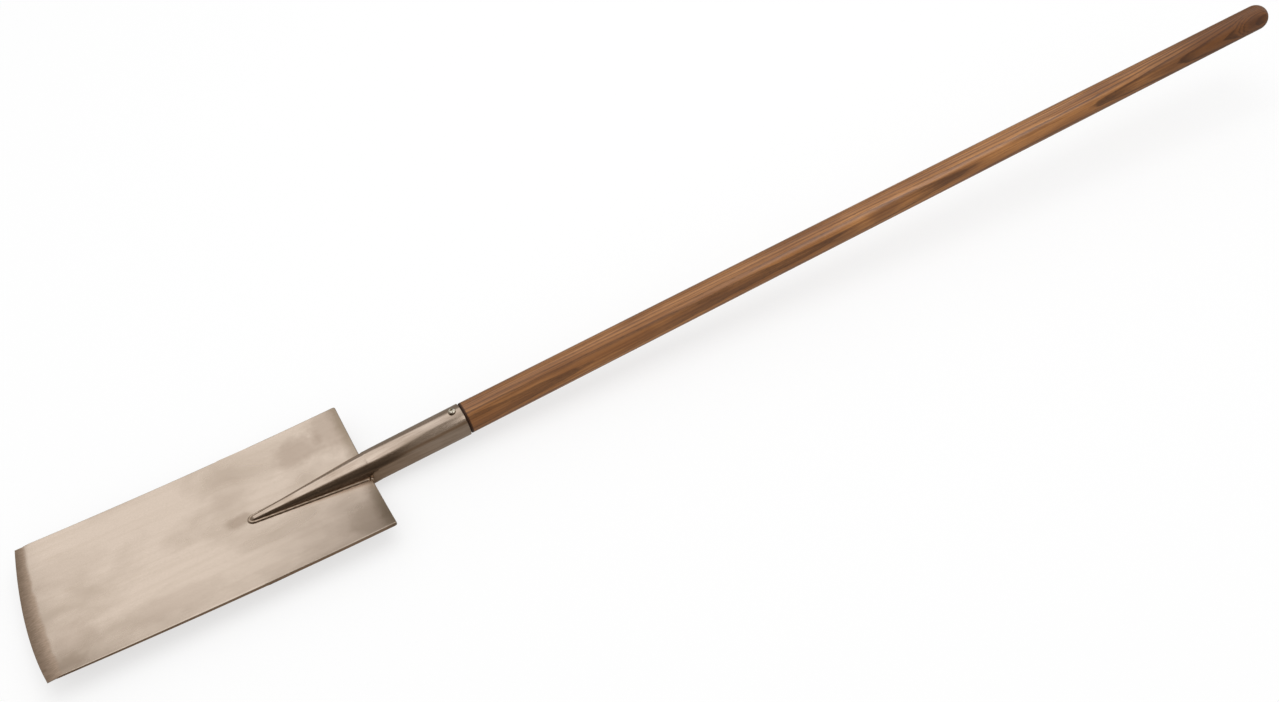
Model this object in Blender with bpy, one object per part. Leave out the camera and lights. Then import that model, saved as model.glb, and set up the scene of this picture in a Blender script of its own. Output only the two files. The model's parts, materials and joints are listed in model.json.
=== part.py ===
"""Long-handled digging spade: a dished bronze blade, a tube socket welded over it, and an ash pole.

Blender 4.5, metres, +Z up. The spade lies on its back. +X runs up the pole, +Y is its left side and +Z is
square to the blade's front. Every size below is laid out in the drawing frame, whose origin is the middle of
the blade's shoulder, level with the front face's corners at the cutting edge. One empty then moves the whole
spade so that the world's origin is the middle of the bottom of its box.
"""

import math
from typing import NamedTuple

import bmesh
import bpy
from mathutils import Vector

# Blade
SHOULDER_WIDTH = 0.2165
EDGE_WIDTH = 0.205  # between the corners of the cutting edge
BLADE_LENGTH = 0.3975  # from the shoulder to the corners of the cutting edge
CROWN = 0.0103  # how far the middle of the cutting edge runs past its corners
DISH = 0.0111  # depth of the hollow across the front, at the cutting edge
SIDE_SAG = 0.0034  # how far each side sinks behind the straight line between its ends
SHOULDER_THICKNESS = 0.0055
EDGE_THICKNESS = 0.0032  # where the ground bevel starts
BEVEL_WIDTH = 0.019
LAND = 0.0008  # what the grinding leaves at the cutting edge
CORNER_RADIUS = 0.003
RIM_RADIUS = 0.0009
SEAT_DEPTH = 0.0010  # the shallow step in the shoulder that the tube sits down in
BLADE_COLUMNS = 10  # flat strips on each half of the dish
BLADE_ROWS = 8  # flat strips along the blade between the rim and the bevel

# Socket
SOCKET_LENGTH = 0.1307  # from the shoulder to the mouth
MOUTH_DIAMETER = 0.042
ROOT_DIAMETER = 0.0406  # at the shoulder
WALL = 0.0025
CRANK = math.radians(3.96)  # the pole leans this much to the front of the blade
AXIS_HEIGHT = -0.0110  # of the tube's axis at the shoulder
PINCH = 0.0020  # how far each side of the tube is pressed in at the root of the front tongue
PINCH_LENGTH = 0.008
FRONT_TONGUE_LENGTH = 0.147
BACK_TONGUE_LENGTH = 0.120
TONGUE_TIP_WIDTH = 0.0092
TONGUE_TIP_HEIGHT = 0.0069
TONGUE_TIP_RADIUS = 0.007
FRONT_FULLNESS = 2.6  # exponent of the section's superellipse: the pressed sides stand steeply
BACK_FULLNESS = 2.0  # a plain ellipse

# Welds
BEAD_RADIUS = 0.0025
BEAD_SETBACK = 0.0048  # from the shoulder to the first point of a tongue's bead

# Pole
SPIGOT_LENGTH = 0.102
POLE_REACH = 1.3208  # from the socket's mouth to the top of the dome
POLE_MOUTH_DIAMETER = 0.0402
POLE_TOP_DIAMETER = 0.0368
MOUTH_GROOVE = 0.0017  # open gap between the tube's rim and the pole's shoulder
POLE_SHOULDER_RADIUS = 0.0007
SPIGOT_CHAMFER = 0.002

# Screw
SCREW_STATION = 0.1202  # above the shoulder, along the tube
SCREW_HEAD_DIAMETER = 0.010
SCREW_HEAD_HEIGHT = 0.0032
SCREW_RIM_HEIGHT = 0.0011
SCREW_SHANK_DIAMETER = 0.005
SCREW_LENGTH = 0.030
SCREW_POINT_LENGTH = 0.006
RECESS_SPAN = 0.0046
RECESS_SLOT = 0.0011
RECESS_DEPTH = 0.0018

# Fits
GAP = 0.0003  # between solids that touch
SPIGOT_FIT = 0.0004  # between the spigot and the bore

# Facets
FLATNESS = 0.00001  # how far a corner may lie off the plane of its face
TUBE_SIDES = 40
BEAD_SIDES = 8
SCREW_SIDES = 24

# Derived sizes
DISH_RADIUS = ((EDGE_WIDTH / 2) ** 2 + DISH**2) / (2 * DISH)
ROOT_RADIUS = ROOT_DIAMETER / 2
MOUTH_RADIUS = MOUTH_DIAMETER / 2
SEAT_WIDTH = ROOT_DIAMETER + 2 * (BEAD_RADIUS + GAP)


class Tongue(NamedTuple):
    """One of the two tapering noses that the slit end of the tube is pressed into."""

    length: float
    root_half_width: float
    root_height: float
    fullness: float


def blend(start, end, share):
    """Value at a share of the way from start to end, held at both ends."""
    return start + (end - start) * min(max(share, 0.0), 1.0)


def face_height(x, y):
    """Height of the blade's front face: an arc across the width, which is flatter halfway along."""
    share = -x / BLADE_LENGTH
    sag = 4 * SIDE_SAG * share * (1 - share) * (2 * y / EDGE_WIDTH) ** 2
    return DISH_RADIUS - math.sqrt(DISH_RADIUS**2 - y**2) - DISH - sag


def taper(x):
    """Width of the blade at a place along it, as a share of the shoulder's width."""
    return 1 + (1 - EDGE_WIDTH / SHOULDER_WIDTH) * x / BLADE_LENGTH


def cutting_edge(y, grow=0.0):
    """Where the cutting edge lies along the blade."""
    return -(BLADE_LENGTH + CROWN * (1 - (2 * y / EDGE_WIDTH) ** 2)) - grow


def thickness(x):
    """Plate thickness, which falls evenly from the shoulder to the bevel."""
    fall = (SHOULDER_THICKNESS - EDGE_THICKNESS) / (BLADE_LENGTH - BEVEL_WIDTH)
    return SHOULDER_THICKNESS + fall * min(x, 0.0)


def shoulder_edge(y, half_width, grow):
    """Where the top of the blade lies: a seat in the middle and a rounded corner at each side."""
    past_seat = abs(y) - SEAT_WIDTH / 2
    corner = CORNER_RADIUS - min(half_width - abs(y), CORNER_RADIUS)
    drop = CORNER_RADIUS - math.sqrt(CORNER_RADIUS**2 - corner**2)
    return grow - drop - SEAT_DEPTH + min(max(past_seat, 0.0), SEAT_DEPTH)


def rim_setback(distance, plate):
    """How far a face is drawn in by the rounded rim at a distance from the outline."""
    radius = min(RIM_RADIUS, 0.35 * plate)
    if distance >= radius:
        return 0.0
    return radius - math.sqrt(radius**2 - (radius - distance) ** 2)


def tube_radius(station):
    """Outer radius of the tube at a station along its axis from the shoulder."""
    return blend(ROOT_RADIUS, MOUTH_RADIUS, station / SOCKET_LENGTH)


def axis_point(station, forward=0.0):
    """Point at a station on the tube's axis, or forward of it toward the blade's front side."""
    along = Vector((math.cos(CRANK), 0.0, math.sin(CRANK)))
    front = Vector((-math.sin(CRANK), 0.0, math.cos(CRANK)))
    return Vector((0.0, 0.0, AXIS_HEIGHT)) + station * along + forward * front


def superellipse(angle, half_width, height, fullness):
    """Point of a superellipse, whose exponent of 2 is a plain ellipse."""
    power = 2 / fullness
    y = half_width * math.copysign(abs(math.cos(angle)) ** power, math.cos(angle))
    z = height * math.copysign(abs(math.sin(angle)) ** power, math.sin(angle))
    return y, z


def front_tongue():
    """The tongue on the front face. Its ridge carries on from the tube's front line."""
    return Tongue(
        length=FRONT_TONGUE_LENGTH,
        root_half_width=ROOT_RADIUS - PINCH,
        root_height=AXIS_HEIGHT + ROOT_RADIUS - face_height(0.0, 0.0),
        fullness=FRONT_FULLNESS,
    )


def back_tongue():
    """The tongue on the back face, in line with the blade's middle."""
    return Tongue(
        length=BACK_TONGUE_LENGTH,
        root_half_width=ROOT_RADIUS,
        root_height=face_height(0.0, 0.0) - SHOULDER_THICKNESS - (AXIS_HEIGHT - ROOT_RADIUS),
        fullness=BACK_FULLNESS,
    )


def tongue_section(tongue, below, grow):
    """Half width and height of a tongue at a distance below the shoulder."""
    run = tongue.length - TONGUE_TIP_RADIUS
    half_width = blend(tongue.root_half_width, TONGUE_TIP_WIDTH / 2, below / run) + grow
    height = blend(tongue.root_height, TONGUE_TIP_HEIGHT, below / run) + grow
    past = min(max(below - run, 0.0) / (TONGUE_TIP_RADIUS + grow), 1.0)
    rounding = math.sqrt(1 - past**2)
    return half_width * rounding, height * rounding


def tip_stations(tongue, grow):
    """Distances below the shoulder that follow the round end of a tongue."""
    run = tongue.length - TONGUE_TIP_RADIUS
    return [run + (TONGUE_TIP_RADIUS + grow) * math.sin(math.radians(a)) for a in (0, 25, 50, 70, 83)]


def tongue_ring(below, grow):
    """Outline of both tongues in one plane across the blade, and the blade's middle between them."""
    x = -below
    face = face_height(x, 0.0)
    back = face - thickness(x)
    middle = (face + back) / 2
    front, behind = front_tongue(), back_tongue()
    front_width, front_height = tongue_section(front, below, grow)
    back_width, back_height = tongue_section(behind, below, grow)
    points = []
    for k in range(TUBE_SIDES):
        angle = 2 * math.pi * k / TUBE_SIDES
        if k <= TUBE_SIDES // 2:
            y, z = superellipse(angle, front_width, face + front_height - middle, front.fullness)
        else:
            y, z = superellipse(angle, max(back_width, LAND), middle - back + back_height, behind.fullness)
        points.append(Vector((x, y, middle + z)))
    return points


def tube_ring(station, grow):
    """Circle round the tube's axis."""
    radius = tube_radius(station) + grow
    points = []
    for k in range(TUBE_SIDES):
        angle = 2 * math.pi * k / TUBE_SIDES
        point = axis_point(station, radius * math.sin(angle))
        point.y = radius * math.cos(angle)
        points.append(point)
    return points


def spade_box():
    """Lowest and highest X, and lowest Z, of the spade in the drawing frame."""
    low_x = cutting_edge(0.0)
    high_x = axis_point(SOCKET_LENGTH + POLE_REACH).x
    low_z = min(p.z for ring in socket_rings(0.0, SOCKET_LENGTH) for p in ring)
    return low_x, high_x, low_z


def socket_rings(grow, top):
    """Rings of the tube's skin, from the mouth down to the tip of the front tongue."""
    stations = {0.0, *tip_stations(front_tongue(), grow), *tip_stations(back_tongue(), grow)}
    rings = [tube_ring(top, grow), tube_ring(PINCH_LENGTH, grow)]
    return rings + [tongue_ring(below, grow) for below in sorted(stations)]


# Building blocks
def clear_scene():
    """Empty the file's scene."""
    for old in list(bpy.data.objects):
        bpy.data.objects.remove(old, do_unlink=True)


def make_material(name, colour, roughness, metallic):
    """Material with the finish of one metal or wood."""
    material = bpy.data.materials.new(name)
    material.use_nodes = True
    shader = material.node_tree.nodes["Principled BSDF"]
    shader.inputs["Base Color"].default_value = (*colour, 1.0)
    shader.inputs["Roughness"].default_value = roughness
    shader.inputs["Metallic"].default_value = metallic
    material.diffuse_color = (*colour, 1.0)
    return material


def make_object(name, bm, parent, material=None):
    """Object made from a bmesh, smooth over its round faces. One without a material is a cutter."""
    bmesh.ops.recalc_face_normals(bm, faces=bm.faces)
    mesh = bpy.data.meshes.new(name)
    bm.to_mesh(mesh)
    bm.free()
    obj = bpy.data.objects.new(name, mesh)
    bpy.context.scene.collection.objects.link(obj)
    obj.parent = parent
    if material is None:
        obj.hide_render = True
        obj.display_type = "WIRE"
    else:
        mesh.materials.append(material)
        mesh.shade_smooth()
        mesh.set_sharp_from_angle(angle=math.radians(35))
    return obj


def cut(obj, cutter):
    """Take the cutter's volume out of the object."""
    modifier = obj.modifiers.new(cutter.name, "BOOLEAN")
    modifier.operation = "DIFFERENCE"
    modifier.solver = "EXACT"
    modifier.object = cutter


def is_warped(face):
    """Whether a four-sided face is out of flat."""
    a, b, c, d = (vert.co for vert in face.verts)
    return abs((d - a).dot((b - a).cross(c - a).normalized())) > FLATNESS


def loft(rings):
    """Closed skin over rings that have the same number of points.

    A warped face is split from its first corner, so that a skin and the room for it bend alike.
    """
    bm = bmesh.new()
    rows = [[bm.verts.new(p) for p in ring] for ring in rings]
    sides = len(rows[0])
    for upper, lower in zip(rows, rows[1:]):
        for k in range(sides):
            n = (k + 1) % sides
            bm.faces.new((upper[k], upper[n], lower[n], lower[k]))
    bmesh.ops.triangulate(bm, faces=[face for face in bm.faces if is_warped(face)], quad_method="FIXED")
    bm.faces.new(rows[0])
    bm.faces.new(reversed(rows[-1]))
    return bm


def lathe(profile, sides):
    """Solid turned about Z from (radius, height) pairs. A radius of zero is a pole."""
    bm = bmesh.new()
    rows = []
    for radius, height in profile:
        count = sides if radius > 0 else 1
        row = []
        for k in range(count):
            angle = 2 * math.pi * k / sides
            row.append(bm.verts.new((radius * math.cos(angle), radius * math.sin(angle), height)))
        rows.append(row)
    for lower, upper in zip(rows, rows[1:]):
        for k in range(sides):
            n = (k + 1) % sides
            corners = [lower[k % len(lower)], lower[n % len(lower)]]
            corners += [upper[n % len(upper)], upper[k % len(upper)]]
            bm.faces.new(list(dict.fromkeys(corners)))
    for row in (rows[0], rows[-1]):
        if len(row) > 1:
            bm.faces.new(row)
    return bm


def sweep(points, radius, up):
    """Round bar along points, drawn in at both ends like a weld bead."""
    first = points[0] - (points[1] - points[0]).normalized() * radius * 0.6
    last = points[-1] + (points[-1] - points[-2]).normalized() * radius * 0.6
    path = [first, *points, last]
    rings = []
    for i, centre in enumerate(path):
        along = (path[min(i + 1, len(path) - 1)] - path[max(i - 1, 0)]).normalized()
        side = along.cross(up).normalized()
        over = side.cross(along)
        size = radius * (0.55 if i in (0, len(path) - 1) else 1.0)
        ring = []
        for k in range(BEAD_SIDES):
            angle = 2 * math.pi * k / BEAD_SIDES
            ring.append(centre + size * (math.cos(angle) * side + math.sin(angle) * over))
        rings.append(ring)
    return loft(rings)


# Blade
def blade_columns(half_width):
    """Places across one half of the blade, from the middle out to the side."""
    seat = SEAT_WIDTH / 2
    inner = half_width - CORNER_RADIUS
    edge_steps = (1.0, 0.5, 0.25, 0.1, 0.0)
    columns = [0.0, seat / 2, seat, seat + SEAT_DEPTH]
    columns += [blend(seat + SEAT_DEPTH, inner, k / BLADE_COLUMNS) for k in range(1, BLADE_COLUMNS)]
    columns += [half_width - CORNER_RADIUS * step for step in edge_steps]
    return columns


def blade_mesh(grow=0.0):
    """The blade's skin, or with grow the room that it needs with a clearance all round."""
    half_width = SHOULDER_WIDTH / 2 + grow
    right = blade_columns(half_width)
    columns = [-place for place in reversed(right[1:])] + right
    rim_rows = [RIM_RADIUS * step for step in (0.0, 0.3, 1.0)]
    bm = bmesh.new()
    front, back = [], []
    for place in columns:
        top = shoulder_edge(place, half_width, grow)
        tip = cutting_edge(place * EDGE_WIDTH / SHOULDER_WIDTH, grow)
        rows = [(top - d, d) for d in rim_rows]
        for k in range(1, BLADE_ROWS + 1):
            rows.append((blend(top - RIM_RADIUS, tip + BEVEL_WIDTH, k / BLADE_ROWS), BEVEL_WIDTH))
        rows.append((tip, RIM_RADIUS))
        front_line, back_line = [], []
        for x, distance in rows:
            y = place * taper(x)
            plate = thickness(x)
            high = face_height(x, y)
            low = high - plate
            if x == tip:
                high = low + LAND
            inset = rim_setback(min(distance, half_width - abs(place)), high - low)
            front_line.append(bm.verts.new((x, y, high - inset + grow)))
            back_line.append(bm.verts.new((x, y, low + inset - grow)))
        front.append(front_line)
        back.append(back_line)
    count = len(front[0])
    for i in range(len(columns) - 1):
        for j in range(count - 1):
            bm.faces.new((front[i][j], front[i][j + 1], front[i + 1][j + 1], front[i + 1][j]))
            bm.faces.new((back[i][j], back[i + 1][j], back[i + 1][j + 1], back[i][j + 1]))
        for j in (0, count - 1):
            bm.faces.new((front[i][j], front[i + 1][j], back[i + 1][j], back[i][j]))
    for i in (0, len(columns) - 1):
        for j in range(count - 1):
            bm.faces.new((front[i][j], back[i][j], back[i][j + 1], front[i][j + 1]))
    return bm


# Socket and welds
def make_socket(parent, material):
    """The tube with its bore, the slit that straddles the blade, and the screw's hole."""
    socket = make_object("socket", loft(socket_rings(0.0, SOCKET_LENGTH)), parent, material)
    bore = loft(socket_rings(-WALL, SOCKET_LENGTH + WALL))
    cut(socket, make_object("socket_bore_cutter", bore, parent))
    cut(socket, make_object("blade_slit_cutter", blade_mesh(GAP), parent))
    radius = SCREW_SHANK_DIAMETER / 2 + GAP
    hole = lathe([(radius, -2 * WALL), (radius, WALL)], SCREW_SIDES)
    hole_cutter = make_object("screw_hole_cutter", hole, parent)
    place_on_front(hole_cutter)
    cut(socket, hole_cutter)
    return socket


def tongue_path(tongue, height_at):
    """Foot of a tongue on the blade, down one side, round the tip and up the other."""
    run = tongue.length - TONGUE_TIP_RADIUS
    side = [blend(BEAD_SETBACK, run, k / 6) for k in range(6)]
    tip = tip_stations(tongue, 0.0)[1:]
    places = [(below, -1.0) for below in side + tip] + [(tongue.length, 0.0)]
    places += [(below, 1.0) for below in reversed(side + tip)]
    path = []
    for below, way in places:
        half_width, _ = tongue_section(tongue, below, 0.0)
        y = way * half_width
        path.append(Vector((-below, y, height_at(-below, y))))
    return path


def make_tongue_weld(name, tongue, height_at, cutters, parent, material):
    """Fillet bead round one tongue."""
    path = tongue_path(tongue, height_at)
    weld = make_object(name, sweep(path, BEAD_RADIUS, Vector((0.0, 0.0, 1.0))), parent, material)
    for cutter in cutters:
        cut(weld, cutter)
    return weld


def make_shoulder_weld(name, way, cutters, parent, material):
    """Bead in the corner of the tube's side and the blade's top edge, through the plate's thickness."""
    y = way * ROOT_RADIUS
    top = face_height(0.0, y)
    levels = (top - SHOULDER_THICKNESS, top - SHOULDER_THICKNESS / 2, top)
    path = [Vector((GAP, y, z)) for z in levels]
    weld = make_object(name, sweep(path, BEAD_RADIUS, Vector((1.0, 0.0, 0.0))), parent, material)
    for cutter in cutters:
        cut(weld, cutter)
    return weld


def make_welds(parent, material):
    """All four beads, each cut to meet the tube and the blade."""
    tube_room = make_object("tube_room_cutter", loft(socket_rings(GAP, SOCKET_LENGTH)), parent)
    blade_room = make_object("blade_room_cutter", blade_mesh(GAP), parent)
    cutters = (tube_room, blade_room)
    make_tongue_weld("front_weld", front_tongue(), face_height, cutters, parent, material)
    make_tongue_weld(
        "back_weld", back_tongue(), lambda x, y: face_height(x, y) - thickness(x), cutters, parent, material
    )
    make_shoulder_weld("left_shoulder_weld", 1.0, cutters, parent, material)
    make_shoulder_weld("right_shoulder_weld", -1.0, cutters, parent, material)


# Pole
def pole_profile():
    """Radius and height of the pole from the foot of its spigot to the dome, with zero at the mouth."""
    foot = SOCKET_LENGTH - SPIGOT_LENGTH
    foot_radius = tube_radius(foot) - WALL - SPIGOT_FIT
    neck_radius = MOUTH_RADIUS - WALL - SPIGOT_FIT
    mouth_radius = POLE_MOUTH_DIAMETER / 2
    top_radius = POLE_TOP_DIAMETER / 2
    profile = [(foot_radius - SPIGOT_CHAMFER, -SPIGOT_LENGTH), (foot_radius, -SPIGOT_LENGTH + SPIGOT_CHAMFER)]
    profile += [(neck_radius, 0.0), (neck_radius, MOUTH_GROOVE)]
    for degrees in (0, 45, 90):
        turn = math.radians(degrees)
        radius = mouth_radius - POLE_SHOULDER_RADIUS * (1 - math.sin(turn))
        profile.append((radius, MOUTH_GROOVE + POLE_SHOULDER_RADIUS * (1 - math.cos(turn))))
    dome_base = POLE_REACH - top_radius
    for degrees in (0, 15, 30, 45, 60, 75):
        turn = math.radians(degrees)
        profile.append((top_radius * math.cos(turn), dome_base + top_radius * math.sin(turn)))
    profile.append((0.0, POLE_REACH))
    return profile


def make_pole(parent, material):
    """The turned pole with the screw's pilot hole in its spigot."""
    pole = make_object("handle", lathe(pole_profile(), TUBE_SIDES), parent, material)
    pole.location = axis_point(SOCKET_LENGTH)
    pole.rotation_euler = (0.0, math.pi / 2 - CRANK, 0.0)
    radius = SCREW_SHANK_DIAMETER / 2 + GAP
    depth = SCREW_LENGTH + 2 * GAP
    pilot = make_object("pilot_hole_cutter", lathe([(radius, -depth), (radius, WALL)], SCREW_SIDES), parent)
    place_on_front(pilot)
    cut(pole, pilot)
    return pole


# Screw
def place_on_front(obj):
    """Stand an object on the tube's front line at the screw, with its Z square to the tube."""
    obj.location = axis_point(SCREW_STATION, tube_radius(SCREW_STATION))
    obj.rotation_euler = (0.0, -CRANK, 0.0)


def screw_profile():
    """Radius and height of the screw from its point to the crown of its head."""
    shank = SCREW_SHANK_DIAMETER / 2
    head = SCREW_HEAD_DIAMETER / 2
    dome = SCREW_HEAD_HEIGHT - SCREW_RIM_HEIGHT
    profile = [(0.0, -SCREW_LENGTH), (shank, -SCREW_LENGTH + SCREW_POINT_LENGTH), (shank, GAP)]
    profile += [(head - GAP, GAP), (head, 2 * GAP)]
    for degrees in (0, 25, 50, 70):
        turn = math.radians(degrees)
        profile.append((head * math.cos(turn), GAP + SCREW_RIM_HEIGHT + dome * math.sin(turn)))
    profile.append((0.0, GAP + SCREW_HEAD_HEIGHT))
    return profile


def recess_mesh():
    """Cross-shaped cutter for the screw's drive."""
    arm = RECESS_SPAN / 2
    half = RECESS_SLOT / 2
    corners = []
    for quarter in range(4):
        turn = quarter * math.pi / 2
        for x, y in ((half, half), (half, arm), (-half, arm)):
            corners.append((x * math.cos(turn) - y * math.sin(turn), x * math.sin(turn) + y * math.cos(turn)))
    floor = GAP + SCREW_HEAD_HEIGHT - RECESS_DEPTH
    ceiling = GAP + SCREW_HEAD_HEIGHT + RECESS_DEPTH
    return loft([[Vector((x, y, z)) for x, y in corners] for z in (ceiling, floor)])


def make_screw(parent, material):
    """The pan-head screw with its cross recess."""
    screw = make_object("retaining_screw", lathe(screw_profile(), SCREW_SIDES), parent, material)
    recess = make_object("recess_cutter", recess_mesh(), parent)
    for obj in (screw, recess):
        place_on_front(obj)
    cut(screw, recess)
    return screw


def main():
    """Build the whole spade."""
    clear_scene()
    low_x, high_x, low_z = spade_box()
    spade = bpy.data.objects.new("spade", None)
    bpy.context.scene.collection.objects.link(spade)
    spade.location = (-(low_x + high_x) / 2, 0.0, -low_z)
    bronze = make_material("bronze", (0.68, 0.55, 0.43), 0.32, 1.0)
    filler = make_material("filler_bronze", (0.60, 0.48, 0.37), 0.45, 1.0)
    ash = make_material("oiled_ash", (0.30, 0.15, 0.07), 0.45, 0.0)
    steel = make_material("screw_steel", (0.62, 0.61, 0.59), 0.25, 1.0)
    make_object("blade", blade_mesh(), spade, bronze)
    make_socket(spade, bronze)
    make_welds(spade, filler)
    make_pole(spade, ash)
    make_screw(spade, steel)


main()
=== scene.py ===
"""Looks of a long-handled digging spade: a bronze blade, a tube socket welded over it and an oiled ash pole.

Everything is in metres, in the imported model's frame. Pieces are laid out in the drawing frame, whose origin is
the middle of the blade's shoulder, level with the front face's corners at the cutting edge, and are then moved
by SHIFT. +X runs up the pole, +Y is the spade's left side and +Z is square to the blade's front.
"""

from __future__ import annotations

import json
import logging
import math
from dataclasses import dataclass
from enum import Enum
from typing import Callable, Sequence

import bmesh
import bpy
from mathutils import Matrix, Vector

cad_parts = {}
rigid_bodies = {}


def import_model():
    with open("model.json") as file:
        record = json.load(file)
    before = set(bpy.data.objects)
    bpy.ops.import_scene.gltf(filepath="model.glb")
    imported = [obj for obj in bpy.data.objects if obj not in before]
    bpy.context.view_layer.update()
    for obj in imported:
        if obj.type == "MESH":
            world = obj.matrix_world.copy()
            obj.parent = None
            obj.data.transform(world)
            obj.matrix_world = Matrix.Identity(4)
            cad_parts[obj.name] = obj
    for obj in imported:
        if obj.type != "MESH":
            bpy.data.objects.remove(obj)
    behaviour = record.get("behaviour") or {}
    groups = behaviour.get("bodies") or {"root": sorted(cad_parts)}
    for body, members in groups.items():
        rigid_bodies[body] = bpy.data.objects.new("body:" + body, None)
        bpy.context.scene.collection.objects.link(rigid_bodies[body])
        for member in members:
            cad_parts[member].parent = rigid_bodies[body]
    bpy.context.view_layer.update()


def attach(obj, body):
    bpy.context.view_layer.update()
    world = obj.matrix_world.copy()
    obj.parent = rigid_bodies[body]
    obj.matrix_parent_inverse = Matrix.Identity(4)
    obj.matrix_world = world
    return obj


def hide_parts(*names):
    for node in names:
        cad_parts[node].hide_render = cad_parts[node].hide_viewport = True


LOG = logging.getLogger("spade")
SHIFT = Vector((-0.520117, 0.0, 0.0313))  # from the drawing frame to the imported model's frame
CRANK = math.radians(3.96)  # the tube and the pole lean this much to the front
AXIS_HEIGHT = -0.0110  # of the tube's axis at the shoulder
SOCKET_LENGTH = 0.1307  # from the shoulder to the mouth
WALL = 0.0025  # of the tube
GAP = 0.0003  # between pieces that touch
TOLERANCE = 1e-5  # for picking vertices by their place

ORIGIN = (0.0, 0.0, 0.0)

Triple = tuple[float, float, float]


class Slot(Enum):
    """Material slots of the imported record."""

    BRONZE = "bronze"
    FILLER = "filler_bronze"
    ASH = "oiled_ash"
    STEEL = "screw_steel"


def axis_point(station: float, forward: float = 0.0) -> Vector:
    """Find a point on the axis that the tube and the pole share.

    Args:
        station: distance from the shoulder along the axis.
        forward: distance from the axis toward the front.

    Returns:
        The point in the drawing frame.
    """
    along = Vector((math.cos(CRANK), 0.0, math.sin(CRANK)))
    front = Vector((-math.sin(CRANK), 0.0, math.cos(CRANK)))
    return Vector((0.0, 0.0, AXIS_HEIGHT)) + station * along + forward * front


def station_of(place: Vector) -> float:
    """Measure how far from the shoulder a place in the drawing frame is, along that axis."""
    return (place - axis_point(0.0)).dot(axis_point(1.0) - axis_point(0.0))


# Shaping
class Bench:
    """One piece on the bench: a primitive that is shaped in edit mode and then finished."""

    def __init__(self, name: str) -> None:
        """Take the active object.

        Args:
            name: name of the piece.
        """
        self.piece = bpy.context.object
        self.piece.name = name
        self.piece.data.name = name
        bpy.ops.object.mode_set(mode="EDIT")
        bpy.ops.mesh.select_mode(type="VERT")

    @property
    def mesh(self) -> bmesh.types.BMesh:
        """Mesh that is being edited."""
        return bmesh.from_edit_mesh(self.piece.data)

    def pick(self, test: Callable[[Vector], bool]) -> None:
        """Select the vertices that pass a test of their place.

        Args:
            test: says whether a place is wanted.
        """
        bpy.ops.mesh.select_mode(type="VERT")
        bpy.ops.mesh.select_all(action="DESELECT")
        mesh = self.mesh
        for vertex in mesh.verts:
            vertex.select_set(test(vertex.co))
        mesh.select_flush(True)
        mesh.select_flush(False)
        bmesh.update_edit_mesh(self.piece.data)

    def pick_edges(self, test: Callable[[Vector, Vector], bool], sharper: float = 0.0) -> None:
        """Select the edges whose two ends pass a test.

        Args:
            test: says whether an edge between two places is wanted.
            sharper: least angle between the edge's faces, in degrees.
        """
        bpy.ops.mesh.select_mode(type="EDGE")
        bpy.ops.mesh.select_all(action="DESELECT")
        mesh = self.mesh
        mesh.normal_update()
        for edge in mesh.edges:
            angle = math.degrees(edge.calc_face_angle(math.pi))
            if angle >= sharper and test(edge.verts[0].co, edge.verts[1].co):
                edge.select_set(True)
        bmesh.update_edit_mesh(self.piece.data)

    def everything(self) -> None:
        """Select the whole mesh."""
        bpy.ops.mesh.select_mode(type="VERT")
        bpy.ops.mesh.select_all(action="SELECT")

    def extrude(self, offset: Triple) -> None:
        """Extrude what is selected by an offset along X, Y and Z."""
        bpy.ops.mesh.extrude_region_move(TRANSFORM_OT_translate={"value": offset})

    def move(self, offset: Triple) -> None:
        """Move what is selected by an offset along X, Y and Z."""
        bpy.ops.transform.translate(value=offset)

    def resize(self, factors: Triple, centre: Triple) -> None:
        """Scale what is selected along X, Y and Z about a point that stays."""
        bpy.ops.transform.resize(value=factors, center_override=centre)

    def turn(self, angle: float, axis: str, centre: Triple) -> None:
        """Turn what is selected by the right-hand rule, which without a window is the operator's other way."""
        bpy.ops.transform.rotate(value=-angle, orient_axis=axis, center_override=centre)

    def lathe(self, radius: float, height: float, profile: list[tuple[float, float]]) -> None:
        """Carry the selected ring on up through a turned profile.

        Args:
            radius: of the ring.
            height: of the ring.
            profile: radius and height of each ring after it.
        """
        for new_radius, new_height in profile:
            self.extrude((0.0, 0.0, new_height - height))
            self.resize((new_radius / radius, new_radius / radius, 1.0), (0.0, 0.0, new_height))
            radius, height = new_radius, new_height

    def clean(self) -> None:
        """Merge doubles, close small holes and turn the faces outwards."""
        self.everything()
        bpy.ops.mesh.remove_doubles(threshold=TOLERANCE)
        bpy.ops.mesh.fill_holes(sides=8)
        self.everything()
        bpy.ops.mesh.normals_make_consistent(inside=False)
        if self.mesh.calc_volume(signed=True) < 0.0:
            bpy.ops.mesh.flip_normals()

    def leave(self) -> bpy.types.Object:
        """Go back to object mode and hand over the piece."""
        bpy.ops.object.mode_set(mode="OBJECT")
        return self.piece


def deselect() -> None:
    """Deselect every object, because an operator acts on all that is selected."""
    bpy.ops.object.select_all(action="DESELECT")


def hold(piece: bpy.types.Object) -> None:
    """Make one piece the only selected and the active one.

    Args:
        piece: the piece.
    """
    deselect()
    piece.select_set(True)
    bpy.context.view_layer.objects.active = piece


def stand(piece: bpy.types.Object, place: Vector, tilt: float) -> None:
    """Tilt a piece that was drawn round the origin and put it in its place.

    Args:
        piece: the piece.
        place: where its origin comes.
        tilt: angle about Y.
    """
    piece.location = place
    piece.rotation_euler = (0.0, tilt, 0.0)
    hold(piece)
    bpy.ops.object.transform_apply()


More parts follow.
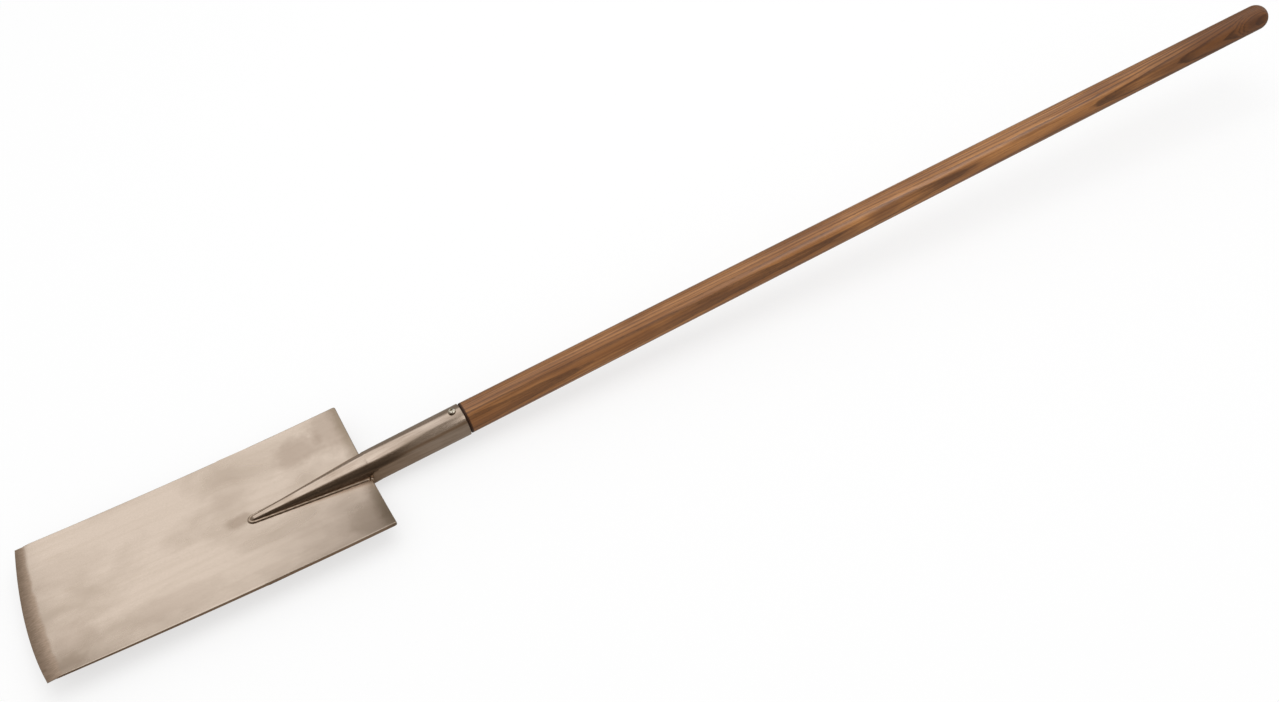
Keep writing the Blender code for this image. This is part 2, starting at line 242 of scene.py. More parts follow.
def modify(piece: bpy.types.Object, kind: str, **settings: object) -> None:
    """Put a modifier on a piece and apply it.

    Args:
        piece: the piece.
        kind: type of the modifier.
        settings: its properties.
    """
    hold(piece)
    modifier = piece.modifiers.new(kind.title(), kind)
    for name, value in settings.items():
        setattr(modifier, name, value)
    bpy.ops.object.modifier_apply(modifier=modifier.name)


def carve(piece: bpy.types.Object, tool: bpy.types.Object) -> None:
    """Take the volume of a tool, a closed mesh that is used up, out of a piece."""
    modify(piece, "BOOLEAN", operation="DIFFERENCE", solver="EXACT", object=tool)
    bpy.data.objects.remove(tool, do_unlink=True)


def settle(piece: bpy.types.Object, sharp: float) -> bpy.types.Object:
    """Shade a finished piece smoothly, except at its sharp edges.

    Args:
        piece: the piece.
        sharp: edges at more than this angle in degrees stay sharp.

    Returns:
        The piece.
    """
    hold(piece)
    bpy.ops.object.shade_smooth_by_angle(angle=math.radians(sharp))
    return piece


def dress(piece: bpy.types.Object, material: bpy.types.Material, slot: Slot, node: str) -> None:
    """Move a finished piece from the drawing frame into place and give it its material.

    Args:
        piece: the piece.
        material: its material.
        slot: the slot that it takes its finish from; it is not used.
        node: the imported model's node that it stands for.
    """
    piece.location = SHIFT
    hold(piece)
    bpy.ops.object.transform_apply()
    piece.data.materials.clear()
    piece.data.materials.append(material)
    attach(piece, "root")
    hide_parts(node)
    LOG.info("%s: %d faces", piece.name, len(piece.data.polygons))


# Finishes
Input = float | str | Sequence[float] | bpy.types.Node | bpy.types.NodeSocket
SOFT = {"interpolation_type": "SMOOTHSTEP"}  # for a range that is rounded off at its ends
WHITE = "#FFFFFF"


def linear(code: str) -> tuple[float, ...]:
    """Turn an sRGB hex code, such as "#C9B7A9", into a linear colour with an alpha of one."""
    parts = [int(code[i : i + 2], 16) / 255 for i in (1, 3, 5)]
    return (*(p / 12.92 if p <= 0.04045 else ((p + 0.055) / 1.055) ** 2.4 for p in parts), 1.0)


def per_mm(*sizes: float) -> tuple[float, ...]:
    """Turn the sizes of a pattern in millimetres into the scales that its coordinates need."""
    return tuple(1000.0 / size for size in sizes)


def add_node(tree: bpy.types.NodeTree, kind: str, *values: Input, **named: Input) -> bpy.types.Node:
    """Add a node with its settings and links.

    A node stands for its first output, and a text for the colour with that code.

    Args:
        tree: node tree of a material or of the world.
        kind: type of the node.
        values: for its inputs in order.
        named: settings, in lower case, and inputs, with a capital and with _ for a space.

    Returns:
        The node.
    """
    node = tree.nodes.new(f"ShaderNode{kind}")
    for name in [name for name in named if name[0].islower()]:
        setattr(node, name, named.pop(name))
    inputs = list(zip([socket for socket in node.inputs if socket.enabled], values))
    inputs += [(node.inputs[name.replace("_", " ")], value) for name, value in named.items()]
    for socket, value in inputs:
        if isinstance(value, bpy.types.Node):
            value = next(output for output in value.outputs if output.enabled)
        if isinstance(value, bpy.types.NodeSocket):
            tree.links.new(value, socket)
        else:
            socket.default_value = linear(value) if isinstance(value, str) else value
    return node


class Surface:
    """A material in the making."""

    def __init__(self, name: str) -> None:
        """Start a material that follows the object's own coordinates.

        Args:
            name: name of the material.
        """
        self.material = bpy.data.materials.new(name)
        self.material.use_nodes = True
        self.material.node_tree.nodes.clear()
        self.place = self.add("TexCoord").outputs["Object"]

    def add(self, kind: str, *values: Input, **named: Input) -> bpy.types.Node:
        """Add a node to this material, as add_node does."""
        return add_node(self.material.node_tree, kind, *values, **named)

    def spot(self, place: Input, middle: Input, sizes: Input, ragged: Input, strength: float) -> bpy.types.Node:
        """Lay out one soft patch.

        Args:
            place: coordinates.
            middle: of the patch.
            sizes: from its middle to where it has faded, along X, Y and Z.
            ragged: noise about zero that breaks up its border.
            strength: of its middle.

        Returns:
            Its strength at each place.
        """
        away = self.add("Mapping", place, middle, ORIGIN, sizes, vector_type="TEXTURE")
        away = self.add("VectorMath", away, operation="LENGTH")
        away = self.add("Math", ragged, 0.9, away, operation="MULTIPLY_ADD")
        return self.add("MapRange", away, 1.45, 0.55, 0.0, strength, **SOFT)

    def close(self, kind: str = "BsdfPrincipled", **inputs: Input) -> bpy.types.Material:
        """Finish the material with a shader of some kind and its inputs."""
        self.add("OutputMaterial", Surface=self.add(kind, **inputs))
        return self.material


@dataclass(frozen=True)
class RolledBronze:
    """Aluminium bronze plate: hot-rolled, pressed, then brushed and blasted with fine beads.

    The eye reads a pale satin gold with soft clouds where the blasting varied, faint streaks along the rolling
    direction, and a browner, duller band where the cutting edge was ground afterwards.
    """

    bright: str = "#DDCCBC"
    cloud: str = "#C0AF9E"
    streak: str = "#C2B09D"
    grain: str = "#A08D7B"
    tint: str = "#87765F"
    ground: str = "#D2BCA9"
    scratch: str = "#B19B86"
    # darker patches; those at the right corners of the shoulder and of the cutting edge are painted shade
    patches_and_painted_shade: tuple[tuple[float, ...], ...] = (
        (-0.064, 0.070, 0.029, 0.019, 0.44),
        (-0.020, -0.084, 0.024, 0.026, 0.34),
        (-0.157, 0.058, 0.024, 0.036, 0.18),
        (-0.157, 0.006, 0.015, 0.009, 0.55),
        (-0.350, 0.046, 0.040, 0.022, 0.14),
        (-0.362, -0.058, 0.026, 0.030, 0.30),
        (-0.012, 0.084, 0.030, 0.036, 0.42),
        (-0.385, -0.096, 0.034, 0.022, 0.50),
        (-0.255, -0.070, 0.060, 0.018, 0.18),
    )  # middle along and across the blade, reach along and across, and strength
    heated: tuple[float, float] = (-0.017, -0.002)  # where the heat tint at the shoulder starts, and is full
    offset: Triple = (3.0, 3.0, 3.0)  # moves the waves off the clouds, so that the two differ
    grind_centre: tuple[float, float] = (0.438, 0.025)  # of the arc that the grinding starts at
    grind_radius: float = 0.8284
    grind_fade: tuple[float, float] = (0.002, 0.003)  # how soft its border is inside and outside that arc

    def make(self) -> bpy.types.Material:
        """Make the material.

        Returns:
            The material.
        """
        surface = Surface("rolled_aluminium_bronze")
        add, place = surface.add, surface.place
        soft = add("Mapping", place, Scale=per_mm(95, 60, 60))
        soft = add("TexNoise", soft, Scale=1.0, Detail=3.0, Distortion=0.4)
        streaks = add("Mapping", place, Scale=per_mm(170, 7, 7))
        streaks = add("TexNoise", streaks, Scale=1.0, Detail=3.0, Roughness=0.6)
        grain = add("TexNoise", add("Mapping", place, Scale=per_mm(1.5, 1.5, 1.5)), Scale=1.0)
        blots = add("TexNoise", add("Mapping", place, Scale=per_mm(14, 14, 14)), Scale=1.0)
        ragged = add("Math", blots, 0.5, operation="SUBTRACT")
        # how much each coat hides of what is below it, and its colour
        coats = [
            (add("MapRange", soft, 0.46, 0.74, 0.0, 0.75), self.cloud),
            (add("MapRange", streaks, 0.45, 0.8, 0.0, 0.25), self.streak),
            (add("MapRange", grain, 0.3, 0.7, 0.0, 0.12), self.grain),
        ]
        # darker patches in the grain colour, two of them painted shade at the blade's right corners
        for along, across, length, width, strength in self.patches_and_painted_shade:
            middle, sizes = (SHIFT.x + along, across, SHIFT.z), (length, width, 1.0)
            coats.append((surface.spot(place, middle, sizes, ragged, strength), self.grain))
        below = add("Math", ragged, 0.012, add("SeparateXYZ", place), operation="MULTIPLY_ADD")
        start, full = (SHIFT.x + station for station in self.heated)
        coats.append((add("MapRange", below, start, full, 0.0, 0.55, **SOFT), self.tint))
        hairs = add("TexNoise", add("Mapping", place, Scale=per_mm(16, 0.9, 0.9)), Scale=1.0)
        scratched = add("Mix", add("MapRange", hairs, 0.3, 0.7), self.ground, self.scratch, data_type="RGBA")
        ground = self.grinding(surface, ragged)
        colour = self.bright
        for share, coat in [*coats, (ground, scratched)]:
            colour = add("Mix", share, colour, coat, data_type="RGBA")
        rough = add("Math", soft, 0.12, 0.20, operation="MULTIPLY_ADD")
        rough = add("Math", ground, 0.12, rough, operation="MULTIPLY_ADD")
        waves = add("TexNoise", add("Mapping", place, self.offset, Scale=per_mm(60, 40, 40)), Scale=1.0, Detail=1.0)
        lines = add("TexNoise", add("Mapping", place, Scale=per_mm(70, 0.9, 0.9)), Scale=1.0)
        normal = add("Bump", Height=waves, Distance=0.0004)
        for relief, depth in ((lines, 0.000006), (grain, 0.000008)):
            normal = add("Bump", Height=relief, Distance=depth, Normal=normal)
        return surface.close(Base_Color=colour, Roughness=rough, Normal=normal, Metallic=1.0)

    def grinding(self, surface: Surface, ragged: Input) -> bpy.types.Node:
        """Lay out the ground band, whose border is an arc round a point far up the blade.

        Args:
            surface: the material.
            ragged: noise about zero that breaks up the border.

        Returns:
            One where the plate is ground and none elsewhere.
        """
        flat = surface.add("VectorMath", surface.place, (1.0, 1.0, 0.0), operation="MULTIPLY")
        centre = (self.grind_centre[0] + SHIFT.x, self.grind_centre[1], 0.0)
        reach = surface.add("VectorMath", flat, centre, operation="DISTANCE")
        reach = surface.add("Math", ragged, 0.006, reach, operation="MULTIPLY_ADD")
        inside, outside = self.grind_fade
        return surface.add("MapRange", reach, self.grind_radius - inside, self.grind_radius + outside, **SOFT)


@dataclass(frozen=True)
class DrawnBronze:
    """Aluminium bronze tube: drawn through a die and linished lengthwise.

    The eye reads a smoother, shinier metal than the plate, with crisp dark and light bands along the tube, hair
    lines along it and brown heat tint where the welding came near.
    """

    bright: str = "#D4C2B2"
    cloud: str = "#C0AD9B"
    streak: str = "#A08C79"
    tint: str = "#85725E"
    heated: Vector = Vector((-0.004, 0.0, -0.022))  # middle of the heat tint
    spread: Triple = (0.016, 0.030, 0.014)  # and how far it reaches from there

    def make(self) -> bpy.types.Material:
        """Make the material.

        Returns:
            The material.
        """
        surface = Surface("drawn_aluminium_bronze")
        add, place = surface.add, surface.place
        soft = add("TexNoise", add("Mapping", place, Scale=per_mm(45, 20, 20)), Scale=1.0, Detail=3.0)
        streaks = add("Mapping", place, Scale=per_mm(90, 2.5, 2.5))
        streaks = add("TexNoise", streaks, Scale=1.0, Detail=3.0, Roughness=0.6)
        blots = add("TexNoise", add("Mapping", place, Scale=per_mm(6, 6, 6)), Scale=1.0, Detail=3.0)
        ragged = add("Math", blots, 0.5, operation="SUBTRACT")
        # how much each coat hides of what is below it, and its colour
        coats = [
            (add("MapRange", soft, 0.4, 0.72), self.cloud),
            (add("MapRange", streaks, 0.45, 0.8, 0.0, 0.5), self.streak),
            (surface.spot(place, SHIFT + self.heated, self.spread, ragged, 0.6), self.tint),
        ]
        colour = self.bright
        for share, coat in coats:
            colour = add("Mix", share, colour, coat, data_type="RGBA")
        rough = add("Math", soft, 0.10, 0.13, operation="MULTIPLY_ADD")
        waves = add("TexNoise", add("Mapping", place, Scale=per_mm(60, 8, 8)), Scale=1.0, Detail=1.0)
        lines = add("TexNoise", add("Mapping", place, Scale=per_mm(40, 1.2, 1.2)), Scale=1.0)
        normal = add("Bump", Height=lines, Distance=0.000006, Normal=add("Bump", Height=waves, Distance=0.00005))
        return surface.close(Base_Color=colour, Roughness=rough, Normal=normal, Metallic=1.0)


@dataclass(frozen=True)
class FillerBronze:
    """Filler bronze of the welds: laid down molten in ripples and brushed with wire.

    The eye reads bright crests with brown heat tint left between them.
    """

    crest: str = "#CDB9A6"
    tint: str = "#8F7B66"

    def make(self) -> bpy.types.Material:
        """Make the material.

        Returns:
            The material.
        """
        surface = Surface("brushed_filler_bronze")
        add = surface.add
        spots = add("TexNoise", add("Mapping", surface.place, Scale=per_mm(4, 4, 4)), Scale=1.0, Detail=3.0)
        colour = add("Mix", add("MapRange", spots, 0.35, 0.75), self.crest, self.tint, data_type="RGBA")
        rough = add("Math", spots, 0.25, 0.2, operation="MULTIPLY_ADD")
        brushed = add("TexNoise", add("Mapping", surface.place, Scale=per_mm(1.2, 1.2, 1.2)), Scale=1.0)
        normal = add("Bump", Height=brushed, Distance=0.00004)
        return surface.close(Base_Color=colour, Roughness=rough, Normal=normal, Metallic=1.0)


@dataclass(frozen=True)
class OiledAsh:
    """Ash: turned from a straight billet, sanded, stained and rubbed with oil.

    The eye reads a warm mid-brown with long darker streaks where the lathe cut through the year rings, fine dark
    dashes that are open pores, a few smoky patches, and a soft sheen along the top that has worn off at the end.
    """

    light: str = "#B97F47"
    middle: str = "#986332"
    deep: str = "#6C401C"
    ring: str = "#4A2B14"
    pore_and_groove_shade: str = "#38200F"
    # the pores' colour, also used for the painted shade in the groove at the mouth
    smoke: str = "#4E3020"
    offset: Triple = (5.0, 5.0, 5.0)  # moves the smears off the stain, so that the two differ
    oil: float = 0.50  # weight of the coat
    worn: float = 0.10  # and what hands have left of it at the end
    oiled: tuple[float, float] = (0.0036, 0.0046)  # where it starts past the mouth, and is full
    skin: float = 0.019  # radius of the pole, at which its patches lie
    groove_shade: tuple[float, float] = (0.0046, 0.0034)  # where the painted shade in the groove at the mouth starts, and is full
    pith: tuple[float, float] = (0.047, -0.017)  # of the billet, across the pole
    first: float = 0.07185  # radius at which a year ring starts
    straight: float = 0.80  # distance from the mouth at which the grain runs along the pole
    lean: float = 0.008  # how much the grain turns outwards below that place, for each metre
    curl: float = 0.085  # and above it, for each cubic metre
    year: float = 0.0031  # width of a year ring
    knot: tuple[float, ...] = (1.285, 150.0, 0.030, 0.014, 0.006)  # a patch that pushes the rings apart
    patches: tuple[tuple[float, ...], ...] = (
        (0.555, 168.0, 0.030, 0.007, 0.35),
        (0.622, 152.0, 0.026, 0.010, 0.34),
        (0.735, 156.0, 0.045, 0.006, 0.40),
        (1.110, 142.0, 0.040, 0.012, 0.30),
        (1.285, 150.0, 0.016, 0.008, 0.55),
        (0.340, 164.0, 0.080, 0.006, 0.35),
    )  # distance from the mouth, side of the pole in degrees, reach along and across, and strength

    def make(self) -> bpy.types.Material:
        """Make the material.

        Returns:
            The material.
        """
        surface = Surface("oiled_ash")
        add = surface.add
        mouth = axis_point(SOCKET_LENGTH) + SHIFT
        pole = add("Mapping", surface.place, mouth, (0.0, -CRANK, 0.0), vector_type="TEXTURE")
        along = add("SeparateXYZ", pole)
        blots = add("TexNoise", add("Mapping", pole, Scale=per_mm(40, 5, 5)), Scale=1.0, Detail=3.0)
        ragged = add("Math", blots, 0.5, operation="SUBTRACT")
        spring = self.rings(surface, pole, along, ragged)
        stain = add("Mapping", pole, Scale=per_mm(150, 22, 22))
        stain = add("TexNoise", stain, Scale=1.0, Detail=3.0, Roughness=0.55, Distortion=0.5)
        smears = add("TexNoise", add("Mapping", pole, self.offset, Scale=per_mm(300, 16, 16)), Scale=1.0)
        streaks = add("Mapping", pole, Scale=per_mm(190, 2.6, 2.6))
        streaks = add("TexNoise", streaks, Scale=1.0, Detail=3.0, Roughness=0.6)
        dashes = add("TexNoise", add("Mapping", pole, Scale=per_mm(8, 0.5, 0.5)), Scale=1.0, Roughness=0.6)
        pores = add("MapRange", spring, 0.0, 1.0, 0.35, 1.0)
        pores = add("Math", add("MapRange", dashes, 0.54, 0.70), pores, operation="MULTIPLY")
        contrast = add("MapRange", along, 0.70, 1.10, 0.50, 0.78)
        # how much each coat hides of what is below it, and its colour
        coats = [
            (add("MapRange", stain, 0.36, 0.62), self.middle),
            (add("MapRange", smears, 0.50, 0.72, 0.0, 0.5), self.deep),
            (add("MapRange", along, 0.02, 0.30, 0.35, 0.0), self.deep),
            (add("MapRange", along, 1.05, 1.20, 0.0, 0.85, **SOFT), self.deep),
            (add("MapRange", streaks, 0.46, 0.64, 0.0, 0.6), self.deep),
            (add("Math", spring, contrast, operation="MULTIPLY"), self.ring),
            (add("Math", pores, 0.7, operation="MULTIPLY"), self.pore_and_groove_shade),
            # painted shade in the groove between the tube's rim and the pole's shoulder
            (add("MapRange", along, *self.groove_shade, 0.0, 0.95), self.pore_and_groove_shade),
        ]
        coats += [(self.patch(surface, pole, patch, ragged), self.smoke) for patch in self.patches]
        colour = self.light
        for share, coat in coats:
            colour = add("Mix", share, colour, coat, data_type="RGBA")
        waves = add("TexNoise", add("Mapping", pole, Scale=per_mm(90, 7, 7)), Scale=1.0)
        normal = add("Bump", Height=waves, Distance=0.00018)
        normal = add("Bump", Height=add("Math", 1.0, pores, operation="SUBTRACT"), Distance=0.00004, Normal=normal)
        worn = add("MapRange", along, 0.95, 1.20, self.oil, self.worn)
        oiled = add("MapRange", along, *self.oiled, 0.0, self.oil)
        return surface.close(
            Base_Color=colour,
            Roughness=add("Math", stain, 0.15, 0.33, operation="MULTIPLY_ADD"),
            Normal=normal,
            Specular_IOR_Level=0.35,
            Coat_Weight=add("Math", worn, oiled, operation="MINIMUM"),
            Coat_Roughness=0.20,
        )

    def rings(self, surface: Surface, pole: Input, along: Input, ragged: Input) -> bpy.types.Node:
        """Lay out the dark early wood of the year rings, which the lathe cuts into lines and long V shapes.

        Args:
            surface: the material.
            pole: coordinates along and across the pole.
            along: distance from the mouth.
            ragged: noise about zero that breaks up the knot's border.

        Returns:
            How much of the early wood shows, from none to one.
        """
        add = surface.add
        flat = add("VectorMath", pole, (0.0, 1.0, 1.0), operation="MULTIPLY")
        radius = add("VectorMath", flat, (0.0, *self.pith), operation="DISTANCE")
        past = add("Math", add("Math", along, self.straight, operation="SUBTRACT"), 0.0, operation="MAXIMUM")
        past = add("Math", past, 3.0, operation="POWER")
        short = add("Math", add("Math", self.straight, along, operation="SUBTRACT"), 0.0, operation="MAXIMUM")
        drift = add("TexNoise", add("Mapping", pole, Scale=per_mm(380, 60, 60)), Scale=1.0)
        wobble = add("TexNoise", add("Mapping", pole, Scale=per_mm(60, 9, 9)), Scale=1.0)
        knot = self.patch(surface, pole, self.knot, ragged)
        for bend, amount in ((past, self.curl), (short, self.lean), (drift, 0.004), (wobble, 0.0016), (knot, 1.0)):
            radius = add("Math", bend, amount, radius, operation="MULTIPLY_ADD")
        grown = add("Math", radius, self.first, operation="SUBTRACT")
        year = add("Math", add("Math", grown, 1.0 / self.year, operation="MULTIPLY"), operation="FRACT")
        start = add("MapRange", year, 0.0, 0.08, **SOFT)
        return add("Math", start, add("MapRange", year, 0.55, 0.16), operation="MULTIPLY")

    def patch(self, surface: Surface, pole: Input, patch: Sequence[float], ragged: Input) -> bpy.types.Node:
        """Lay out a soft patch on the pole.

        Args:
            surface: the material.
            pole: coordinates along and across the pole.
            patch: distance from the mouth, side of the pole in degrees, reach along and across, and strength.
            ragged: noise about zero that breaks up its border.

        Returns:
            Its strength at each place.
        """
        station, side, length, width, strength = patch
        angle = math.radians(side)
        middle = (station, self.skin * math.cos(angle), self.skin * math.sin(angle))
        return surface.spot(pole, middle, (length, width, width), ragged, strength)


@dataclass(frozen=True)
class PlatedSteel:
    """Screw steel: cold-headed and zinc-plated.

    The eye reads a bright, slightly milky grey metal with a faint grain.
    """

    bright: str = "#E4DCCC"
    dull: str = "#BDB4A4"
    roughness: float = 0.14

    def make(self) -> bpy.types.Material:
        """Make the material.

        Returns:
            The material.
        """
        surface = Surface("zinc_plated_steel")
        add = surface.add
        grain = add("TexNoise", add("Mapping", surface.place, Scale=per_mm(0.6, 0.6, 0.6)), Scale=1.0)
        colour = add("Mix", add("MapRange", grain, 0.3, 0.7), self.bright, self.dull, data_type="RGBA")
        normal = add("Bump", Height=grain, Distance=0.00001)
        return surface.close(Base_Color=colour, Roughness=self.roughness, Normal=normal, Metallic=1.0)


# Blade
@dataclass
class Blade:
    """The dished plate with its ground cutting edge."""

    shoulder_width: float = 0.21649
    edge_width: float = 0.205  # between the corners of the cutting edge
    length: float = 0.3975  # from the shoulder to those corners
    crown: float = 0.0103  # how far the middle of the cutting edge runs past them
    dish: float = 0.0111  # depth of the hollow across the front, at the cutting edge
    side_sag: float = 0.0034  # how far each side sinks behind the straight line between its ends
    plate: float = 0.0055  # thickness at the shoulder
    taper: float = 0.0023  # that the plate loses down to the ground edge
    grind: float = 0.0155  # width of the ground bevel
    land: float = 0.0008  # what the grinding leaves of the cutting edge
    corner: float = 0.003  # radius of the shoulder's corners, seen from above
    rim: float = 0.0011  # radius of the rounded rims
    rows: int = 20  # of faces along the blade
    columns: int = 24  # and across each half
    rounds: int = 4  # faces round a rim or a corner

    @property
    def radius(self) -> float:
        """Radius of the dish."""
        return ((self.edge_width / 2) ** 2 + self.dish**2) / (2 * self.dish)

    @property
    def half_flat(self) -> float:
        """Half the width of the sheet before it is dished."""
        return self.radius * math.asin(self.shoulder_width / 2 / self.radius)

    @property
    def bow_radius(self) -> float:
        """Radius of the bowed cutting edge, seen from above."""
        half = self.radius * math.asin(self.edge_width / 2 / self.radius)
        return (half**2 + self.crown**2) / (2 * self.crown)

    @property
    def bow_centre(self) -> float:
        """Place of that bow's centre along X."""
        return self.bow_radius - self.length - self.crown

    @property
    def run(self) -> float:
        """Length from the shoulder to the ground edge at the sides."""
        return self.length - self.grind

    @property
    def slope(self) -> float:
        """How much each side comes in for each metre along the blade."""
        return (self.shoulder_width - self.edge_width) / 2 / self.length

    def shallower(self, x: float) -> float:
        """Find the share of the dish's depth that is left at a place along the blade."""
        share = -x / self.length
        return 1 - 4 * self.side_sag / self.dish * share * (1 - share)

    def face_height(self, x: float, y: float) -> float:
        """Find the height of the front face at a place along the blade and a distance from its middle."""
        hollow = self.radius - math.sqrt(self.radius**2 - y**2)
        return hollow * self.shallower(x) - self.dish

    def thickness(self, x: float) -> float:
        """Find the plate's thickness at a place along it."""
        return self.plate + self.taper * x / self.run

    def from_bow(self, place: Vector) -> float:
        """Measure how far a place is from the centre of the cutting edge's bow, seen from above."""
        return math.hypot(place.x - self.bow_centre, place.y)

    def from_side(self, place: Vector) -> float:
        """Measure how far a place is from the nearer side."""
        return self.shoulder_width / 2 + self.slope * place.x - abs(place.y)

    def build(self) -> bpy.types.Object:
        """Model the blade: a sheet is laid out flat, dished, given its thickness and grind, and trimmed.

        Returns:
            The piece in the drawing frame.
        """
        plate = self.lay_out()
        self.press(plate)
        self.thicken(plate)
        self.trim(plate)
        return settle(plate, sharp=30)

    def lay_out(self) -> bpy.types.Object:
        """Model one half of the flat sheet and mirror it.

        Returns:
            The sheet, a little wider than the blade.
        """
        inner = self.bow_radius - self.grind
        wide = self.half_flat + self.rim
        deselect()
        bpy.ops.mesh.primitive_plane_add(size=self.grind)
        bench = Bench("bronze_blade")
        bench.everything()
        bench.move((self.grind / 2 - self.length - self.crown, self.grind / 2, 0.0))
        bench.pick(lambda p: p.y > TOLERANCE)
        bpy.ops.mesh.delete(type="VERT")
        bench.everything()
        reach = math.asin(wide / inner) + self.rim / inner
        centre = (self.bow_centre, 0.0, 0.0)
        bpy.ops.mesh.spin(steps=self.columns, angle=reach, center=centre, axis=(0.0, 0.0, 1.0))
        bench.clean()
        bench.pick(lambda p: abs(self.from_bow(p) - inner) < TOLERANCE)
        bench.extrude(ORIGIN)
        bench.resize((0.0, 1.0, 1.0), ORIGIN)
        bench.everything()
        bpy.ops.mesh.bisect(plane_co=(0.0, wide, 0.0), plane_no=(0.0, 1.0, 0.0), clear_outer=True)
        for row in range(1, self.rows):
            bench.everything()
            bpy.ops.mesh.bisect(plane_co=(-row / self.rows * self.run, 0.0, 0.0), plane_no=(1.0, 0.0, 0.0))
        sheet = bench.leave()
        modify(sheet, "MIRROR", use_axis=(False, True, False), merge_threshold=TOLERANCE)
        return sheet

    def press(self, sheet: bpy.types.Object) -> None:
        """Dish the sheet, less deeply halfway along.

        Args:
            sheet: the flat sheet.
        """
        bpy.ops.object.empty_add(rotation=Matrix(((0, 0, 1), (1, 0, 0), (0, 1, 0))).to_euler())
        former = bpy.context.object  # its X lies across the sheet and its Y is up
        angle = sheet.dimensions.y / self.radius
        modify(sheet, "SIMPLE_DEFORM", deform_method="BEND", deform_axis="Z", angle=angle, origin=former)
        bpy.data.objects.remove(former)
        bench = Bench(sheet.name)
        inner = self.bow_radius - self.grind
        for row in range(1, self.rows + 1):
            place = row / self.rows * self.run
            if row < self.rows:
                bench.pick(lambda p: abs(p.x + place) < TOLERANCE)
            else:
                bench.pick(lambda p: abs(self.from_bow(p) - inner) < self.rim)
            bench.resize((1.0, 1.0, self.shallower(-place)), ORIGIN)
        bench.everything()
        bench.move((0.0, 0.0, -self.dish))
        bench.leave()

    def thicken(self, sheet: bpy.types.Object) -> None:
        """Give the sheet its tapering thickness and grind the cutting edge.

        Args:
            sheet: the dished sheet, which is the front face.
        """
        bench = Bench(sheet.name)
        bench.everything()
        bench.extrude((0.0, 0.0, -self.plate))
        bench.turn(math.atan2(self.taper, self.run), "Y", (0.0, 0.0, -self.dish - self.plate))
        bench.pick(
            lambda p: self.from_bow(p) > self.bow_radius - self.rim and p.z > self.face_height(p.x, p.y) - self.land
        )
        bench.move((0.0, 0.0, self.land - self.thickness(-self.length - self.crown / 2)))
        bench.clean()
        bench.leave()

    def trim(self, plate: bpy.types.Object) -> None:
        """Cut the sides straight, round the corners and break every edge.

        Args:
            plate: the dished plate.
        """
        hold(plate)
        bench = Bench(plate.name)
        for side in (1.0, -1.0):
            bench.everything()
            bpy.ops.mesh.bisect(
                plane_co=(0.0, side * self.shoulder_width / 2, 0.0),
                plane_no=(-self.slope, side, 0.0),
                clear_outer=True,
                use_fill=True,
            )
        bench.clean()
        bench.pick_edges(
            lambda a, b: max(self.from_side(a), self.from_side(b)) < TOLERANCE
            and abs(a.z - b.z) > self.plate / 2
            and a.x + b.x > -self.rim,
            sharper=50,
        )
        bpy.ops.mesh.bevel(offset=self.corner, segments=self.rounds, affect="EDGES")
        bench.clean()
        outline = self.bow_radius - self.land
        bench.pick_edges(lambda a, b: max(self.from_bow(a), self.from_bow(b)) < outline, sharper=50)
        bpy.ops.mesh.bevel(offset=self.rim, segments=self.rounds, affect="EDGES")
        bench.pick_edges(
            lambda a, b: min(self.from_bow(a), self.from_bow(b)) > outline and abs(a.y - b.y) > self.land, sharper=30
        )
        bpy.ops.mesh.bevel(offset=self.land / 4, segments=self.rounds // 2, affect="EDGES")
        bench.clean()
        bench.leave()

    def dress(self, blade: bpy.types.Object) -> None:
        """Give the finished blade its material."""
        dress(blade, RolledBronze().make(), Slot.BRONZE, "blade")


# Socket
@dataclass(frozen=True)
class Tongue:
    """One of the two tapering noses that the slit end of the tube is pressed into."""

    length: float
    root_half: float  # half its width at the shoulder
    root_height: float  # from the middle of the plate
    tip_half: float
    tip_height: float
    round_end: float = 0.007  # length of the rounded tip

    def section(self, below: float, grow: float) -> tuple[float, float]:
        """Find the tongue's half width and height.

        Args:
            below: distance below the shoulder.
            grow: added all round.

        Returns:
            Half width and height.
        """
        run = self.length - self.round_end
        share = min(max(below / run, 0.0), 1.0)
        half = self.root_half + (self.tip_half - self.root_half) * share + grow
        height = self.root_height + (self.tip_height - self.root_height) * share + grow
        past = min(max(below - run, 0.0) / (self.round_end + grow), 1.0)
        left = math.sqrt(1.0 - past**2)
        return half * left, height * left


